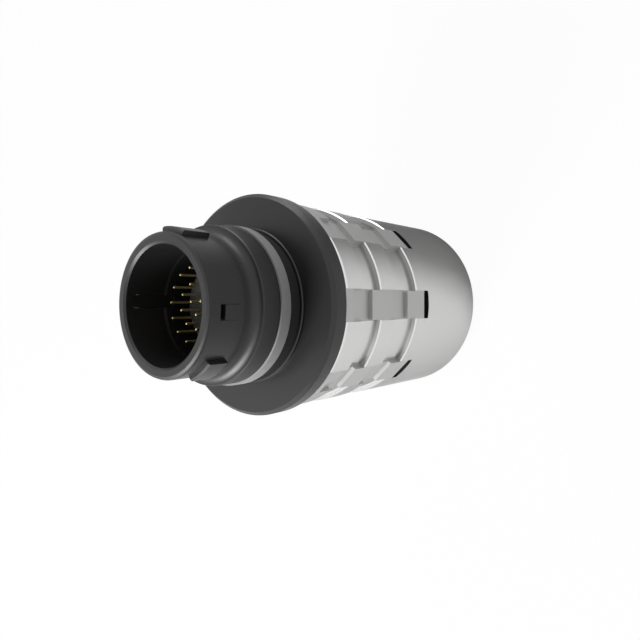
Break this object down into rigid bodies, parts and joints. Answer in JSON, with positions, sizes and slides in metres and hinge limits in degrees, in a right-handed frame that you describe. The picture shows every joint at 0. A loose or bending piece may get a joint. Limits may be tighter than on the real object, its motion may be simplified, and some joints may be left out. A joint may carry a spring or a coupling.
{
  "type": "push pull circular connector",
  "caption": "Push-pull circular plug with a keyed nose shroud round gold pins, sealing ring, stop flange and sprung release sleeve with milled grip.",
  "frame": {"origin": "centre of the rear face of the back nut", "axes": "+Z along the plug axis towards the pins; +Y roughly through the main key"},
  "size_m": [0.04, 0.04, 0.076],
  "materials": {
    "black_anodised": "matt black anodised",
    "black_anodised_flange": "matt black anodised",
    "grey_ring": "light grey sealing ring",
    "black_rubber": "matt",
    "grey_silicone": "matt blue-grey silicone",
    "black_insulator": "matt moulded",
    "gold_pin": "gold plated",
    "nickel_inner": "nickel plated",
    "nickel_nut": "satin nickel plated",
    "black_latch": "blackened",
    "satin_nickel": "satin nickel",
    "black_bush": "moulded",
    "spring_steel": "bright",
    "brass_ring": "plain"
  },
  "bodies": {
    "plug_body": {"plug_shell": "black_anodised", "stop_flange": "black_anodised_flange", "seal_ring": "grey_ring", "panel_gasket": "black_rubber", "interface_seal": "grey_silicone", "front_insulator": "black_insulator", "rear_insulator": "black_insulator", "pins_outer": "gold_pin", "pins_middle": "gold_pin", "pins_inner": "gold_pin", "insert_nut": "nickel_inner", "spring_washer": "spring_steel", "barrel": "nickel_inner", "shell_o_ring": "black_rubber", "ground_ring": "brass_ring", "clamp_collet": "nickel_inner", "cable_seal": "black_rubber", "back_nut": "nickel_nut", "nut_gasket": "black_rubber", "return_spring": "spring_steel"},
    "sleeve": {"release_sleeve": "satin_nickel", "sleeve_bush": "black_bush"},
    "latch_right": {"latch_a": "black_latch"},
    "latch_left": {"latch_b": "black_latch"}
  },
  "joints": [
    {"name": "sleeve_pull", "type": "slide", "parent": "plug_body", "child": "sleeve", "axis": [0, 0, -1], "range_m": [0, 0.002], "stiffness_N_per_m": 1500, "springref_m": -0.004, "deforming": ["return_spring"]},
    {"name": "latch_right_in", "type": "slide", "parent": "plug_body", "child": "latch_right", "axis": [-0.9954, 0.0958, 0], "range_m": [0, 0.00045]},
    {"name": "latch_left_in", "type": "slide", "parent": "plug_body", "child": "latch_left", "axis": [0.9954, -0.0958, 0], "range_m": [0, 0.00045]}
  ],
  "couplings": [
    {"joint": "latch_right_in", "follows": "sleeve_pull", "ratio": 0.225},
    {"joint": "latch_left_in", "follows": "sleeve_pull", "ratio": 0.225}
  ]
}
